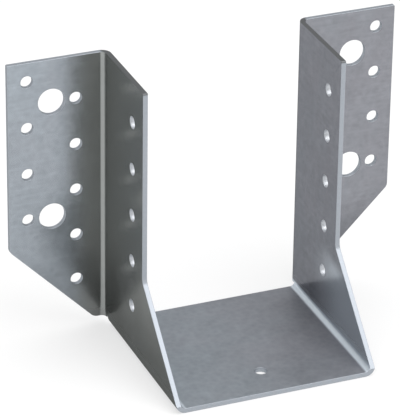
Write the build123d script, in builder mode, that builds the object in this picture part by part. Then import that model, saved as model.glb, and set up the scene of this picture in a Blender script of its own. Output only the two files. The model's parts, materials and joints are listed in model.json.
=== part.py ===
from build123d import *
import os

# U bracket of the joist hanger kind, punched and folded from one flat steel sheet.
#
# Frame: X across the bracket, +Y towards the beam that the wings are fixed to, +Z up.
# The origin is the middle of the footprint, on the underside of the seat. The joist comes
# in from -Y and rests on the seat, and everything is symmetric about x = 0.

# ---------------------------------------------------------------- driving dimensions (mm)

sheet = 2.0                 # sheet thickness
joist_width = 80.0          # clear width between the two walls
bracket_height = 120.0      # underside of the seat to the top edge
bracket_depth = 80.0        # wing backs to the front edge of the seat
wing_reach = 42.0           # inner face of a wall to the outer edge of its wing

seat_fold = 2.0             # inside radius of the two folds along the seat
wing_fold = 2.0             # inside radius of the two folds between walls and wings
seat_setback = 5.2          # wing backs to the rear edge of the seat

wall_depth = 43.2           # wing backs to the upright front edge of a wall
wall_slant_top = 39.2       # height where the slanting front edge of a wall starts
wall_slant_foot = 3.0       # height where it runs out at the front of the seat fold
wing_slant_top = 39.0       # height where the slanting edge of a wing starts
wing_foot = 3.0             # height of the level bottom edge of a wing
wing_foot_flat = 4.7        # outer face of a wall to the foot of the slanting edge

tip_corner = 0.5            # blunt corner at the top of a wing and of a wall
wing_corner = 3.0           # blunt corner at the top of a wing's slanting edge
foot_corner = 4.0           # blunt corner at the foot of a wing's slanting edge
wall_corner = 4.0           # hollow corner at the top of a wall's slanting edge

nail_hole = 5.0             # diameter of the nail holes
bolt_hole = 11.0            # diameter of the bolt holes
hole_pitch = 20.0           # height from one nail hole to the next in a column
edge_distance = 8.0         # hole centres to the outer and top edges of a wing
column_spacing = 20.0       # outer nail column to inner nail column of a wing
outer_rows = 4              # nail holes in the outer column
inner_rows = 5              # nail holes in the inner column, half a pitch lower
bolt_inset = 10.0           # outer nail column to the bolt holes
bolt_pitch = 50.0           # height from the lower bolt hole to the upper one
wall_rows = 5               # nail holes in a wall, about level with the inner column
wall_hole_drop = 17.0       # top edge to the highest nail hole of a wall
wall_hole_depth = 32.0      # wing backs to the nail holes in a wall
seat_hole_depth = 64.0      # wing backs to the nail hole in the seat

# ---------------------------------------------------------------- worked-out dimensions

back = bracket_depth / 2                         # plane of the wing backs
front = -bracket_depth / 2                       # front edge of the seat
seat_rear = back - seat_setback
wall_front = back - wall_depth
wall_middle = joist_width / 2 + sheet / 2        # half-way through a wall
seat_fold_top = sheet + seat_fold                # height where the seat folds end
wing_fold_start = back - sheet - wing_fold       # where the wing folds start
wing_middle = back - sheet / 2                   # half-way through a wing
wing_outer = joist_width / 2 + wing_reach
wing_foot_end = joist_width / 2 + sheet + wing_foot_flat

outer_column = wing_outer - edge_distance
inner_column = outer_column - column_spacing
bolt_column = outer_column - bolt_inset
outer_top = bracket_height - edge_distance
inner_top = outer_top - hole_pitch / 2           # the upper bolt holes are at this height
outer_mid = outer_top - hole_pitch * (outer_rows - 1) / 2
inner_mid = inner_top - hole_pitch * (inner_rows - 1) / 2
wall_mid = bracket_height - wall_hole_drop - hole_pitch * (wall_rows - 1) / 2
bolt_mid = inner_top - bolt_pitch / 2

# Corners of the outlines that are blunted, in the plane of a wing and of a wall.
wing_tip = (wing_outer, bracket_height)
wing_slant_corner = (wing_outer, wing_slant_top)
wing_foot_corner = (wing_foot_end, wing_foot)
wall_tip = (wall_front, bracket_height)
wall_slant_corner = (wall_front, wall_slant_top)

with BuildPart() as u_bracket:
    # The wings. Each is one leg of an angle: wing, fold, and the strip of wall behind the
    # seat. The angle is run upwards and cut to the wing's outline.
    with BuildSketch(Plane.XY.offset(wing_foot)):
        with BuildLine():
            angle_line = FilletPolyline(
                (wall_middle, seat_rear),
                (wall_middle, wing_middle),
                (wing_outer, wing_middle),
                radius=wing_fold + sheet / 2,
            )
            offset(angle_line, amount=sheet / 2, side=Side.BOTH)
        make_face()
        mirror(about=Plane.YZ)
    extrude(amount=bracket_height - wing_foot)

    with BuildSketch(Plane.XZ):
        with BuildLine():
            Polyline(
                (0, bracket_height),
                wing_tip,
                wing_slant_corner,
                wing_foot_corner,
                (0, wing_foot),
                close=True,
            )
        make_face()
        fillet(vertices().sort_by_distance(wing_tip)[0], radius=tip_corner)
        fillet(vertices().sort_by_distance(wing_slant_corner)[0], radius=wing_corner)
        fillet(vertices().sort_by_distance(wing_foot_corner)[0], radius=foot_corner)
        mirror(about=Plane.YZ)
    extrude(amount=bracket_depth, both=True, mode=Mode.INTERSECT)

    # The strips of wall end flush with the seat's rear edge. Their feet slant up from the
    # wing folds to the top of the seat folds, so that neither kind of fold tears the other.
    with BuildSketch(Plane.YZ):
        with BuildLine():
            Polyline(
                (seat_rear - sheet, 0),
                (seat_rear - sheet, bracket_height),
                (seat_rear, bracket_height),
                (seat_rear, seat_fold_top),
                (wing_fold_start, wing_foot),
                (wing_fold_start, 0),
                close=True,
            )
        make_face()
    extrude(amount=wing_outer, both=True, mode=Mode.SUBTRACT)

    # The seat and both walls: a U section run from the rear edge of the seat to the front,
    # and cut to the walls' outline, seen from the side.
    with BuildSketch(Plane.XZ.offset(-seat_rear)):
        with BuildLine():
            u_line = FilletPolyline(
                (-wall_middle, bracket_height),
                (-wall_middle, sheet / 2),
                (wall_middle, sheet / 2),
                (wall_middle, bracket_height),
                radius=seat_fold + sheet / 2,
            )
            offset(u_line, amount=sheet / 2, side=Side.BOTH)
        make_face()
    extrude(amount=seat_rear - front)

    with BuildSketch(Plane.YZ):
        with BuildLine():
            Polyline(
                (back, 0),
                (back, bracket_height),
                wall_tip,
                wall_slant_corner,
                (front, wall_slant_foot),
                (front, 0),
                close=True,
            )
        make_face()
        fillet(vertices().sort_by_distance(wall_tip)[0], radius=tip_corner)
        fillet(vertices().sort_by_distance(wall_slant_corner)[0], radius=wall_corner)
    extrude(amount=wing_outer, both=True, mode=Mode.INTERSECT)

    # Punched holes: two staggered nail columns and two bolt holes in each wing.
    with BuildSketch(Plane.XZ.offset(-wing_middle)):
        with Locations((0, outer_mid)):
            with GridLocations(2 * outer_column, hole_pitch, 2, outer_rows):
                Circle(nail_hole / 2)
        with Locations((0, inner_mid)):
            with GridLocations(2 * inner_column, hole_pitch, 2, inner_rows):
                Circle(nail_hole / 2)
        with Locations((0, bolt_mid)):
            with GridLocations(2 * bolt_column, bolt_pitch, 2, 2):
                Circle(bolt_hole / 2)
    extrude(amount=sheet, both=True, mode=Mode.SUBTRACT)

    # One nail column through both walls.
    with BuildSketch(Plane.YZ):
        with Locations((back - wall_hole_depth, wall_mid)):
            with GridLocations(0, hole_pitch, 1, wall_rows):
                Circle(nail_hole / 2)
    extrude(amount=wing_outer, both=True, mode=Mode.SUBTRACT)

    # One nail hole in the seat.
    with BuildSketch(Plane.XY):
        with Locations((0, back - seat_hole_depth)):
            Circle(nail_hole / 2)
    extrude(amount=2 * sheet, both=True, mode=Mode.SUBTRACT)

u_bracket.part.label = "u_bracket"
os.makedirs("parts", exist_ok=True)
export_step(u_bracket.part, "parts/u_bracket.step")
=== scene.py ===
import json
import math
from types import SimpleNamespace

import bpy
from bpy.props import FloatProperty, FloatVectorProperty, IntProperty, PointerProperty
from mathutils import Matrix, Vector

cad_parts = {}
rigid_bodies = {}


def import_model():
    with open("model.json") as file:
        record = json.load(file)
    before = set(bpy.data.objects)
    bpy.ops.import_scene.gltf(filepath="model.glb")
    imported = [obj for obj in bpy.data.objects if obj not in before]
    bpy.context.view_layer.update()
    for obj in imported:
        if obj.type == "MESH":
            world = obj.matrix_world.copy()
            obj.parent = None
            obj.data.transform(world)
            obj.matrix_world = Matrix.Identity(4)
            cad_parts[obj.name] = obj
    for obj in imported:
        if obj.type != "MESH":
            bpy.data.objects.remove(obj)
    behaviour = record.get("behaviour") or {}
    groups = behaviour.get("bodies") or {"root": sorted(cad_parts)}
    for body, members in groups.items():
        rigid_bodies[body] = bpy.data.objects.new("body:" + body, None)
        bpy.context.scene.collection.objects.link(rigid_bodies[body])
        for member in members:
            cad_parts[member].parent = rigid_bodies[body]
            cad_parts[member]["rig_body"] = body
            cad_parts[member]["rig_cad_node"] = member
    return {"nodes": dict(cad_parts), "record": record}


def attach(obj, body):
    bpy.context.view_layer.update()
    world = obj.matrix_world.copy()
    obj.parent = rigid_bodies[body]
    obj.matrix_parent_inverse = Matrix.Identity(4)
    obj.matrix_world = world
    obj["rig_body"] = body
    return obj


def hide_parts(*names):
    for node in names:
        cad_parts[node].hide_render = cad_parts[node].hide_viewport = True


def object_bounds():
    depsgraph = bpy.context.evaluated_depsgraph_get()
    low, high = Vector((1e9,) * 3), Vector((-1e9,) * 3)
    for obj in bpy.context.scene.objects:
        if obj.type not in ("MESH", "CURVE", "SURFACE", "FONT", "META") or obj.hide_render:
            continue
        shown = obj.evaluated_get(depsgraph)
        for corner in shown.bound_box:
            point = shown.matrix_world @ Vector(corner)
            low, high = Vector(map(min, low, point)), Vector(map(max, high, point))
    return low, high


bl_info = {
    "name": "Joist Hanger U Bracket",
    "version": (1, 0, 0),
    "blender": (4, 5, 0),
    "location": "View3D > Sidebar > U Bracket",
    "description": "Rolls a folded joist hanger's edges, galvanises it and sets it on a pale floor",
    "category": "Object",
}

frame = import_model()
cad_low, cad_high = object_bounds()
NODE = "u_bracket"
BODY = "root"
MM = 0.001


def mount(name):
    """The record's entry for a mount."""
    for entry in frame["record"]["mounts"]:
        if entry["name"] == name:
            return entry
    raise RuntimeError(f"the record has no mount named {name}")


def mount_place(name):
    """Where the record says a mount is, as a point in metres."""
    return Vector(mount(name)["pos_m"])


def sheet_sizes(look):
    """The folded sheet's sizes and places in metres, from the record's mounts and the panel."""
    sheet = mount_place("joist_seat").z - mount_place("underside").z
    inner = mount_place("right_cheek").x
    return SimpleNamespace(
        sheet=sheet,
        fold=look.fold_radius,
        fold_top=sheet + look.fold_radius,
        inner=inner,
        outer=inner + sheet,
        back=mount_place("right_wing_back").y,
        top=cad_high.z,
        depth=cad_high.y - cad_low.y,
        nail=mount_place("right_wall_nail_centre").y,
        nail_radius=mount("right_wall_nail_centre")["dims"]["r_mm"] * MM,
    )


# ---- sizes and colours that a user would change

class SheetSettings(bpy.types.PropertyGroup):
    """The folded sheet: its folds, the roundness of its sheared edges and its zinc."""

    fold_radius: FloatProperty(
        name="Fold radius",
        description="Inside radius of the folds in the CAD shape, by which their faces are found",
        default=0.002, min=0.0005, max=0.01, subtype="DISTANCE", unit="LENGTH")
    edge_round: FloatProperty(
        name="Edge rounding", description="How far the shear and the punch roll an edge over",
        default=0.00016, min=0.00005, max=0.0005, subtype="DISTANCE", unit="LENGTH")
    edge_steps: IntProperty(
        name="Edge steps", description="Facets across a rolled edge", default=3, min=1, max=6)
    # Cool and warm zinc: random tone, which the painted side light also drifts from cool on the
    # left to warm on the right.
    zinc_cool: FloatVectorProperty(
        name="Cool zinc", description="Bluish bloom of the zinc",
        default=(0.343, 0.380, 0.416), size=3, min=0.0, max=1.0, subtype="COLOR")
    zinc_warm: FloatVectorProperty(
        name="Warm zinc", description="Purple-grey of the zinc between the blooms",
        default=(0.322, 0.322, 0.352), size=3, min=0.0, max=1.0, subtype="COLOR")
    # Painted reflection: greenish grey zinc round the left fold, standing in for warmer
    # surroundings reflected there.
    painted_reflection_grey: FloatVectorProperty(
        name="Grey zinc", description="Greyer zinc round the left fold",
        default=(0.315, 0.322, 0.300), size=3, min=0.0, max=1.0, subtype="COLOR")
    # Painted light: lighter zinc at the front foot of the walls' insides, where light from the seat
    # falls.
    painted_light_zinc: FloatVectorProperty(
        name="Rubbed zinc", description="Lighter zinc at the foot of the walls' insides",
        default=(0.66, 0.72, 0.78), size=3, min=0.0, max=1.0, subtype="COLOR")
    painted_light_strength: FloatProperty(
        name="Rubbing", description="How strong the lighter zinc inside the walls is",
        default=0.8, min=0.0, max=1.0, subtype="FACTOR")
    # Painted highlight: the sides of the walls' nail holes are painted brighter than the other cut
    # edges.
    painted_highlight_steel: FloatVectorProperty(
        name="Punched steel", description="Bright sides of the nail holes in the two walls",
        default=(0.58, 0.60, 0.63), size=3, min=0.0, max=1.0, subtype="COLOR")
    # Darker top edges of the walls than the other cut edges.
    dark_top_edge: FloatVectorProperty(
        name="Coated edge", description="Dull edge along the top of the walls",
        default=(0.17, 0.175, 0.18), size=3, min=0.0, max=1.0, subtype="COLOR")
    sheared_steel: FloatVectorProperty(
        name="Sheared steel", description="Bare, bright steel of the cut edges and hole walls",
        default=(0.395, 0.425, 0.465), size=3, min=0.0, max=1.0, subtype="COLOR")
    grazing_tint: FloatVectorProperty(
        name="Grazing tint",
        description="How much of the shine is left where the sheet is seen nearly edge on",
        default=(0.2, 0.2, 0.2), size=3, min=0.0, max=1.0, subtype="COLOR")
    metal_share: FloatProperty(
        name="Metal share",
        description="How much of the zinc skin shines as clean metal; the rest is dull oxide",
        default=0.80, min=0.0, max=1.0, subtype="FACTOR")
    zinc_roughness: FloatProperty(
        name="Zinc roughness", description="Mean roughness of the zinc skin",
        default=0.22, min=0.05, max=1.0, subtype="FACTOR")
    seat_roughness: FloatProperty(
        name="Seat roughness", description="Mean roughness of the seat and the underside",
        default=0.44, min=0.05, max=1.0, subtype="FACTOR")
    edge_roughness: FloatProperty(
        name="Edge roughness", description="Mean roughness of the sheared edges",
        default=0.45, min=0.05, max=1.0, subtype="FACTOR")
    mottle: FloatProperty(
        name="Mottle", description="Strength of the zinc's mottling",
        default=0.5, min=0.0, max=1.0, subtype="FACTOR")
    # Seat darkening: the seat and the underside are darker than the walls.
    seat_darkening: FloatProperty(
        name="Seat dullness",
        description="How much duller the seat and the underside are than the walls",
        default=0.07, min=0.0, max=1.0, subtype="FACTOR")
    # Painted shadow: the outside is painted darker low down, towards the floor.
    painted_foot_shadow: FloatProperty(
        name="Foot dullness", description="How much duller the outside is low down",
        default=0.4, min=0.0, max=1.0, subtype="FACTOR")
    # Painted side light: the zinc on the walls and wings is painted lighter on the left than on the
    # right.
    painted_side_light_share: FloatProperty(
        name="Bloom drift",
        description="How much lighter the zinc is on the left than on the right",
        default=0.17, min=0.0, max=0.5, subtype="FACTOR")
    waviness: FloatProperty(
        name="Waviness", description="Height of the sheet's long, shallow waves",
        default=0.00003, min=0.0, max=0.0005, subtype="DISTANCE", unit="LENGTH")


class StageSettings(bpy.types.PropertyGroup):
    """The floor, the light and the camera."""

    floor_size: FloatProperty(
        name="Floor size", description="Side of the square floor",
        default=12.0, min=1.0, max=50.0, subtype="DISTANCE", unit="LENGTH")
    floor_colour: FloatVectorProperty(
        name="Floor colour", description="Colour of the floor, and of the background it makes",
        default=(0.9, 0.9, 0.9), size=3, min=0.0, max=1.0, subtype="COLOR")
    floor_glow: FloatProperty(
        name="Background share", description="How much of the seen floor is plain white background",
        default=0.6, min=0.0, max=1.0, subtype="FACTOR")
    horizon_light: FloatProperty(
        name="Horizon light", description="Strength of the surroundings at eye level",
        default=1.2, min=0.0, max=4.0)
    middle_light: FloatProperty(
        name="Middle light", description="Strength of the surroundings a third of the way up",
        default=0.5, min=0.0, max=4.0)
    upper_light: FloatProperty(
        name="Upper light", description="Strength of the surroundings overhead",
        default=1.5, min=0.0, max=4.0)
    softbox_power: FloatProperty(
        name="Softbox power", description="Power of the large soft lamp above the front",
        default=5.0, min=0.0, max=1000.0, unit="POWER")
    softbox_size: FloatProperty(
        name="Softbox size", description="Side of the square soft lamp",
        default=1.0, min=0.05, max=5.0, subtype="DISTANCE", unit="LENGTH")
    softbox_place: FloatVectorProperty(
        name="Softbox place", description="Middle of the soft lamp, from the middle of the bracket",
        default=(0.33, -0.45, 0.85), size=3, subtype="TRANSLATION", unit="LENGTH")
    look_at: FloatVectorProperty(
        name="Look at",
        description="Point that the camera looks at, from the middle of the bracket",
        default=(-0.01198, 0.01174, -0.00186), size=3, subtype="TRANSLATION", unit="LENGTH")
    camera_turn: FloatProperty(
        name="Camera turn", description="How far the camera stands to the left of straight ahead",
        default=math.radians(22.503), subtype="ANGLE", unit="ROTATION")
    camera_height: FloatProperty(
        name="Camera height", description="How far the camera looks down",
        default=math.radians(27.647), subtype="ANGLE", unit="ROTATION")
    camera_roll: FloatProperty(
        name="Camera roll", description="Lean of the camera",
        default=math.radians(0.806), subtype="ANGLE", unit="ROTATION")
    camera_distance: FloatProperty(
        name="Camera distance", description="From the camera to the point it looks at",
        default=1.2825, min=0.1, max=20.0, subtype="DISTANCE", unit="LENGTH")
    focal_length: FloatProperty(
        name="Focal length", description="Focal length on a 36 mm sensor, in millimetres",
        default=280.99, min=10.0, max=1000.0)


# ---- node trees

class Value:
    """A number that a node gives. Python's operators on it add Math nodes."""

    def __init__(self, tree, socket):
        self.tree = tree
        self.socket = socket

    def math(self, operation, *numbers):
        node = {"operation": operation}
        return self.tree.add("ShaderNodeMath", node, dict(enumerate(numbers)))

    def __add__(self, other):
        return self.math("ADD", self, other)

    def __radd__(self, other):
        return self.math("ADD", other, self)

    def __sub__(self, other):
        return self.math("SUBTRACT", self, other)

    def __rsub__(self, other):
        return self.math("SUBTRACT", other, self)

    def __mul__(self, other):
        return self.math("MULTIPLY", self, other)

    def __rmul__(self, other):
        return self.math("MULTIPLY", other, self)

    def clamped(self):
        return self.tree.add("ShaderNodeClamp", {}, {"Value": self})

    def between(self, low, high):
        """0 up to low, 1 from high, and a smooth rise between them."""
        return self.tree.add(
            "ShaderNodeMapRange", {"interpolation_type": "SMOOTHSTEP"},
            {"Value": self, "From Min": low, "From Max": high, "To Min": 0.0, "To Max": 1.0})

    def band(self, low, high, fade):
        """1 from low to high, with a smooth fade beyond each."""
        return self.between(low - fade, low) * (1.0 - self.between(high, high + fade))

    def swing(self, share, middle=0.5):
        """How far a pattern swings from its middle, times a share."""
        return (self - middle) * share


class Tree:
    """A node tree that starts empty and is filled by one method."""

    def __init__(self, owner):
        owner.use_nodes = True
        self.nodes = owner.node_tree.nodes
        self.links = owner.node_tree.links
        self.nodes.clear()

    def add(self, kind, settings, inputs, output=0):
        """Adds a node, sets it up, fills its sockets and returns one of its outputs."""
        node = self.nodes.new(kind)
        for name, setting in settings.items():
            setattr(node, name, setting)
        for name, value in inputs.items():
            if isinstance(value, Value):
                self.links.new(value.socket, node.inputs[name])
            else:
                node.inputs[name].default_value = value
        return Value(self, node.outputs[output]) if len(node.outputs) else None

    def mix(self, low, high, factor):
        """A colour between two colours."""
        node = {"data_type": "RGBA", "clamp_factor": True}
        return self.add("ShaderNodeMix", node, {0: factor, 6: low, 7: high}, 2)

    def noise(self, place, scale, detail, roughness):
        """Noise of about 0 to 1, with features one over scale metres across."""
        return self.add(
            "ShaderNodeTexNoise", {"noise_dimensions": "3D"},
            {"Vector": place, "Scale": scale, "Detail": detail, "Roughness": roughness})

    def stretched(self, place, scale):
        """Coordinates drawn out so that a pattern runs in streaks."""
        return self.add("ShaderNodeMapping", {}, {"Vector": place, "Scale": scale})


def rgba(colour, level=1.0):
    return tuple(part * level for part in colour) + (1.0,)


def zinc_material(look, sizes):
    """Galvanised sheet: cloudy, faintly spangled zinc, and bright steel where it was sheared."""
    sheet, fold, inner, outer = sizes.sheet, sizes.fold, sizes.inner, sizes.outer
    top, depth = sizes.top, sizes.depth
    material = bpy.data.materials.new("galvanised_zinc")
    tree = Tree(material)
    place = tree.add("ShaderNodeTexCoord", {}, {}, "Object")
    across = tree.add("ShaderNodeSeparateXYZ", {}, {"Vector": place}, "X")
    along = tree.add("ShaderNodeSeparateXYZ", {}, {"Vector": place}, "Y")
    height = tree.add("ShaderNodeSeparateXYZ", {}, {"Vector": place}, "Z")
    reach = across.math("ABSOLUTE", across)
    sheared = tree.add(
        "ShaderNodeAttribute",
        {"attribute_name": "sheared", "attribute_type": "GEOMETRY"}, {}, "Fac")

    # the zinc's bloom, fine mottle and spangles, with streaks that run up the walls and wings
    # and across the seat, and fine scratches that run level
    bloom = tree.noise(place, scale=55.0, detail=3.0, roughness=0.55)
    mottle = tree.noise(place, scale=260.0, detail=5.0, roughness=0.68)
    spangle = tree.add(
        "ShaderNodeTexVoronoi", {"feature": "SMOOTH_F1"},
        {"Vector": place, "Scale": 420.0, "Smoothness": 0.25, "Randomness": 1.0}, "Distance")
    up_sheet = tree.stretched(place, (1.0, 1.0, 0.09))
    across_sheet = tree.stretched(place, (0.09, 1.0, 1.0))
    round_sheet = tree.stretched(place, (0.06, 0.06, 1.0))
    upright = tree.noise(up_sheet, scale=190.0, detail=3.0, roughness=0.55)
    level = tree.noise(across_sheet, scale=190.0, detail=3.0, roughness=0.55)
    scratch = tree.noise(round_sheet, scale=900.0, detail=2.0, roughness=0.6)
    on_walls = height.between(1.5 * sheet, 4.0 * sheet)
    streak = upright * on_walls + level * (1.0 - on_walls)

    # light and dark zinc, and a painted side light that drifts it from cool on the left to warm on
    # the right
    tone = bloom.swing(0.7) + mottle.swing(1.3) + streak.swing(0.4)
    tone = tone + spangle.swing(0.5, middle=0.45) + scratch.swing(0.9) * on_walls
    tone = (tone * look.mottle + 0.5).clamped()
    # painted side light: rises from the left of the bracket to its right
    painted_side_light = (across + bloom.swing(30.0 * MM)).between(-50.0 * MM, 60.0 * MM)
    veins = tree.noise(place, scale=38.0, detail=2.0, roughness=0.5)
    # the hue mixes the painted side light with random veins and streaks
    warmth = painted_side_light * 0.75 + (veins * 0.6 + streak * 0.4 - 0.4) * 0.9
    hue = 1.0 - warmth.clamped()
    contrast = 0.26
    dark = tree.mix(
        rgba(look.zinc_warm, 1.0 - contrast), rgba(look.zinc_cool, 1.0 - contrast), hue)
    light = tree.mix(
        rgba(look.zinc_warm, 1.0 + contrast), rgba(look.zinc_cool, 1.0 + contrast), hue)
    zinc = tree.mix(dark, light, tone)

    # painted reflection: greyer, greenish zinc round the left fold, on the left side only
    outside = reach.between(inner + 0.25 * sheet, outer - 0.25 * sheet)
    painted_reflection_mask = outside * (1.0 - reach.between(outer + 4.0 * MM, outer + 18.0 * MM)) * (1.0 - painted_side_light)
    zinc = tree.mix(zinc, rgba(look.painted_reflection_grey), painted_reflection_mask * 0.75)

    # painted shadow: darker low down on the outside, but not in the crease of a wing fold; with it
    # the painted side light darkens the right, and the seat and underside are darker
    crease = reach.between(outer, outer + 0.2 * fold)
    crease = crease * (1.0 - reach.between(outer + 0.9 * fold, outer + 1.2 * fold))
    low_down = 1.0 - (height + bloom.swing(20.0 * MM)).between(sizes.fold_top, 0.35 * top)
    painted_shade_and_seat_darkening = painted_side_light * on_walls * look.painted_side_light_share + (1.0 - on_walls) * look.seat_darkening
    painted_shade_and_seat_darkening = painted_shade_and_seat_darkening + outside * low_down * (1.0 - crease) * look.painted_foot_shadow
    zinc = tree.mix(zinc, rgba((0.0, 0.0, 0.0)), painted_shade_and_seat_darkening)

    # painted light: lighter inside, at the front foot of the walls, and a painted highlight along
    # the insides of the seat folds
    inside = reach.between(inner - 2.5 * MM, inner - 0.5 * MM)
    inside = inside * (1.0 - reach.between(inner + 0.2 * MM, inner + 1.0 * MM))
    painted_light_mask = inside * low_down.between(0.0, 0.45) * height.between(0.75 * sheet, 3.0 * sheet)
    painted_light_mask = painted_light_mask * (1.0 - along.between(-0.15 * depth, 0.25 * depth))
    # painted highlight: a light line where the seat's top meets each seat fold
    stretched = reach.between(inner - 1.2 * fold, inner - 0.9 * fold)
    stretched = stretched * (1.0 - reach.between(inner + 0.1 * MM, inner + 0.6 * MM))
    stretched = stretched * height.between(sheet - 0.1 * MM, sheet + 0.1 * MM)
    stretched = stretched * (1.0 - height.between(sizes.fold_top, sizes.fold_top + 0.6 * MM))
    # mixes in the painted light and the painted fold highlight
    zinc = tree.mix(zinc, rgba(look.painted_light_zinc), painted_light_mask * look.painted_light_strength + stretched)

    # the sheared edges: bright steel with a fine grain, with a painted highlight in the nail holes
    # of the walls, and darker along the walls' top edges
    grain = tree.noise(place, scale=900.0, detail=3.0, roughness=0.6)
    steel = tree.mix(rgba(look.sheared_steel, 0.86), rgba(look.sheared_steel, 1.10), grain)
    hole = sizes.nail_radius + 0.1 * MM
    painted_hole_highlight = along.band(sizes.nail - hole, sizes.nail + hole, 0.4 * MM)
    painted_hole_highlight = painted_hole_highlight * reach.band(inner - 0.6 * MM, outer + 0.4 * MM, 0.4 * MM)
    painted_hole_highlight = painted_hole_highlight * (1.0 - height.between(top - 8.0 * MM, top - 6.0 * MM))
    steel = tree.mix(steel, rgba(look.painted_highlight_steel), painted_hole_highlight)
    dark_top = height.between(top - 1.0 * MM, top - 0.4 * MM)
    dark_top = dark_top * (1.0 - reach.between(outer + 0.4 * MM, outer + fold))
    steel = tree.mix(steel, rgba(look.dark_top_edge), dark_top)
    colour = tree.mix(zinc, steel, sheared)

    zinc_roughness = look.zinc_roughness * on_walls + look.seat_roughness * (1.0 - on_walls)
    zinc_roughness = zinc_roughness + mottle.swing(0.10) + bloom.swing(0.10)
    steel_roughness = look.edge_roughness + grain.swing(0.12)
    roughness = zinc_roughness * (1.0 - sheared) + steel_roughness * sheared

    # long shallow waves of the sheet and the grain of its skin
    waves = tree.noise(place, scale=26.0, detail=1.0, roughness=0.4)
    waved = tree.add(
        "ShaderNodeBump", {},
        {"Strength": 1.0, "Distance": look.waviness, "Height": waves}, "Normal")
    skin = mottle * 0.7 + grain * 0.3
    normal = tree.add(
        "ShaderNodeBump", {},
        {"Strength": 0.35, "Distance": 0.012 * MM, "Height": skin, "Normal": waved}, "Normal")

    surface = tree.add(
        "ShaderNodeBsdfPrincipled", {},
        {"Base Color": colour, "Metallic": look.metal_share, "Roughness": roughness,
         "Specular Tint": rgba(look.grazing_tint), "Normal": normal}, "BSDF")
    tree.add("ShaderNodeOutputMaterial", {}, {"Surface": surface})
    return material


# ---- the folded sheet

def flat_skin(centre, normal, sizes):
    """True on the two zinc-coated sides of the sheet, flats and folds alike."""
    near = 0.15 * sizes.sheet
    facing, side_on = 0.995, 0.05
    across, along, up = abs(centre.x), centre.y, centre.z
    if abs(normal.z) > facing:
        return min(abs(up), abs(up - sizes.sheet)) < near
    if abs(normal.x) > facing:
        return min(abs(across - sizes.inner), abs(across - sizes.outer)) < near
    if abs(normal.y) > facing:
        return min(abs(along - sizes.back), abs(along - sizes.back + sizes.sheet)) < near
    small, large = sizes.fold, sizes.fold + sizes.sheet
    if abs(normal.y) < side_on:
        gap = Vector((across - sizes.inner + small, up - large))
        if gap.x > -near and gap.y < near:
            return min(abs(gap.length - small), abs(gap.length - large)) < near
    if abs(normal.z) < side_on:
        gap = Vector((across - sizes.outer - small, along - sizes.back + large))
        if gap.x < near and gap.y > -near:
            return min(abs(gap.length - small), abs(gap.length - large)) < near
    return False


class UBRACKET_OT_folded_sheet(bpy.types.Operator):
    """Makes the folded sheet: the CAD shape with rolled edges and a galvanised finish"""

    bl_idname = "ubracket.folded_sheet"
    bl_label = "Folded Sheet"

    def execute(self, context):
        look = context.scene.ubracket_sheet
        source = frame["nodes"][NODE]
        bpy.ops.object.select_all(action="DESELECT")
        piece = source.copy()
        piece.data = source.data.copy()
        piece.name = "folded_sheet"
        piece.data.name = "folded_sheet"
        piece.parent = None
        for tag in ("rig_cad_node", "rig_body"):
            if tag in piece:
                del piece[tag]
        context.scene.collection.objects.link(piece)
        piece.select_set(True)
        context.view_layer.objects.active = piece

        # one closed skin with whole flats, so that only real edges are left
        bpy.ops.mesh.customdata_custom_splitnormals_clear()
        bpy.ops.object.mode_set(mode="EDIT")
        bpy.ops.mesh.select_all(action="SELECT")
        bpy.ops.mesh.remove_doubles(threshold=1e-6)
        bpy.ops.mesh.mark_sharp(clear=True)
        bpy.ops.mesh.dissolve_limited(angle_limit=math.radians(0.5))
        bpy.ops.object.mode_set(mode="OBJECT")

        roll = piece.modifiers.new("rolled_edges", "BEVEL")
        roll.width = look.edge_round
        roll.segments = look.edge_steps
        roll.limit_method = "ANGLE"
        roll.angle_limit = math.radians(40.0)
        roll.use_clamp_overlap = False
        bpy.ops.object.modifier_apply(modifier=roll.name)
        bpy.ops.object.shade_smooth()
        even = piece.modifiers.new("flat_shading", "WEIGHTED_NORMAL")
        even.weight = 100
        even.keep_sharp = False
        bpy.ops.object.modifier_apply(modifier=even.name)

        sizes = sheet_sizes(look)
        self.mark_sheared(piece.data, sizes)
        piece.data.materials.clear()
        piece.data.materials.append(zinc_material(look, sizes))
        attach(piece, BODY)
        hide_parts(NODE)
        return {"FINISHED"}

    def mark_sheared(self, mesh, sizes):
        """Writes 0 on the zinc skin and 1 on the sheared edges and the sides of the holes."""
        skin = set()
        for face in mesh.polygons:
            if flat_skin(face.center, face.normal, sizes):
                skin.update(face.vertices)
        if not 0 < len(skin) < len(mesh.vertices):
            raise RuntimeError("the sheet's skin and its sheared edges can't be told apart")
        marks = mesh.attributes.new("sheared", "FLOAT", "POINT")
        for index, mark in enumerate(marks.data):
            mark.value = 0.0 if index in skin else 1.0


# ---- the stage

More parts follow.
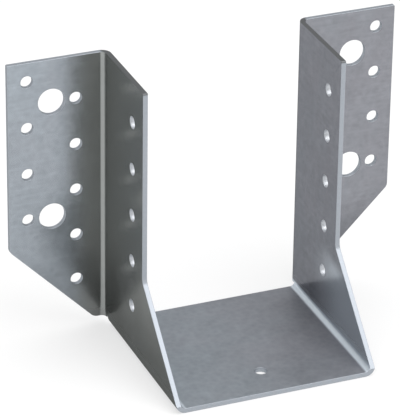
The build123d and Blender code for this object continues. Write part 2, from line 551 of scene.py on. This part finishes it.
class UBRACKET_OT_stage(bpy.types.Operator):
    """Sets up the pale floor, the soft light and the camera"""

    bl_idname = "ubracket.stage"
    bl_label = "Stage"

    def execute(self, context):
        stage = context.scene.ubracket_stage
        middle = (cad_low + cad_high) / 2
        self.floor(stage)
        self.surroundings(context.scene, stage)
        self.softbox(context.scene, stage, middle)
        self.camera(context.scene, stage, middle)
        context.scene.view_settings.view_transform = "Standard"
        return {"FINISHED"}

    def floor(self, stage):
        bpy.ops.object.select_all(action="DESELECT")
        bpy.ops.mesh.primitive_plane_add(
            size=stage.floor_size, location=(0.0, 0.0, cad_low.z - 0.05 * MM))
        floor = bpy.context.object
        floor.name = "floor"
        material = bpy.data.materials.new("pale_floor")
        tree = Tree(material)
        matt = tree.add("ShaderNodeBsdfDiffuse", {}, {"Color": rgba(stage.floor_colour)}, "BSDF")
        white = tree.add(
            "ShaderNodeEmission", {}, {"Color": (1.0, 1.0, 1.0, 1.0), "Strength": 1.0}, "Emission")
        seen = tree.add("ShaderNodeLightPath", {}, {}, "Is Camera Ray")
        seen = seen + tree.add("ShaderNodeLightPath", {}, {}, "Is Glossy Ray")
        seen = (seen + tree.add("ShaderNodeLightPath", {}, {}, "Is Transmission Ray")).clamped()
        surface = tree.add(
            "ShaderNodeMixShader", {}, {0: seen * stage.floor_glow, 1: matt, 2: white}, "Shader")
        tree.add("ShaderNodeOutputMaterial", {}, {"Surface": surface})
        floor.data.materials.append(material)

    def surroundings(self, scene, stage):
        """A plain surround that is brighter at the horizon and overhead than between them."""
        world = bpy.data.worlds.new("soft_surround")
        scene.world = world
        tree = Tree(world)
        direction = tree.add("ShaderNodeTexCoord", {}, {}, "Generated")
        height = tree.add("ShaderNodeSeparateXYZ", {}, {"Vector": direction}, "Z")
        rise, overhead = height.between(0.05, 0.40), height.between(0.60, 0.80)
        strength = stage.horizon_light * (1.0 - rise) + stage.middle_light * (rise - overhead)
        strength = strength + stage.upper_light * overhead
        sky = tree.add(
            "ShaderNodeBackground", {},
            {"Color": (1.0, 1.0, 1.0, 1.0), "Strength": strength}, "Background")
        tree.add("ShaderNodeOutputWorld", {}, {"Surface": sky})

    def softbox(self, scene, stage, middle):
        lamp = bpy.data.lights.new("softbox", "AREA")
        lamp.shape = "SQUARE"
        lamp.size = stage.softbox_size
        lamp.energy = stage.softbox_power
        holder = bpy.data.objects.new("softbox", lamp)
        scene.collection.objects.link(holder)
        offset = Vector(stage.softbox_place)
        holder.location = middle + offset
        holder.rotation_euler = offset.to_track_quat("Z", "Y").to_euler()

    def camera(self, scene, stage, middle):
        lens = bpy.data.cameras.new("camera")
        lens.sensor_width = 36.0
        lens.lens = stage.focal_length
        lens.clip_start = 0.01
        lens.clip_end = 100.0
        camera = bpy.data.objects.new("camera", lens)
        scene.collection.objects.link(camera)
        turn, height, roll = stage.camera_turn, stage.camera_height, stage.camera_roll
        back = Vector((
            -math.sin(turn) * math.cos(height),
            -math.cos(turn) * math.cos(height),
            math.sin(height),
        ))
        level = Vector((math.cos(turn), -math.sin(turn), 0.0))
        above = back.cross(level)
        right = level * math.cos(roll) + above * math.sin(roll)
        up = above * math.cos(roll) - level * math.sin(roll)
        place = middle + Vector(stage.look_at) + back * stage.camera_distance
        pose = Matrix((right, up, back)).transposed().to_4x4()
        camera.matrix_world = Matrix.Translation(place) @ pose
        scene.camera = camera


# ---- the sidebar panel and the script's run

class UBRACKET_PT_panel(bpy.types.Panel):
    """Sizes, colours and steps of the U bracket"""

    bl_idname = "UBRACKET_PT_panel"
    bl_label = "U Bracket"
    bl_space_type = "VIEW_3D"
    bl_region_type = "UI"
    bl_category = "U Bracket"

    def draw(self, context):
        for title, group, step in (
            ("Sheet", context.scene.ubracket_sheet, UBRACKET_OT_folded_sheet),
            ("Stage", context.scene.ubracket_stage, UBRACKET_OT_stage),
        ):
            box = self.layout.box()
            box.label(text=title)
            for name in group.__annotations__:
                box.prop(group, name)
            box.operator(step.bl_idname)


CLASSES = (
    SheetSettings,
    StageSettings,
    UBRACKET_OT_folded_sheet,
    UBRACKET_OT_stage,
    UBRACKET_PT_panel,
)


def register():
    for cls in CLASSES:
        bpy.utils.register_class(cls)
    bpy.types.Scene.ubracket_sheet = PointerProperty(type=SheetSettings)
    bpy.types.Scene.ubracket_stage = PointerProperty(type=StageSettings)


def unregister():
    del bpy.types.Scene.ubracket_stage
    del bpy.types.Scene.ubracket_sheet
    for cls in reversed(CLASSES):
        bpy.utils.unregister_class(cls)


def main():
    register()
    bpy.ops.ubracket.folded_sheet()
    bpy.ops.ubracket.stage()


if __name__ == "__main__":
    main()
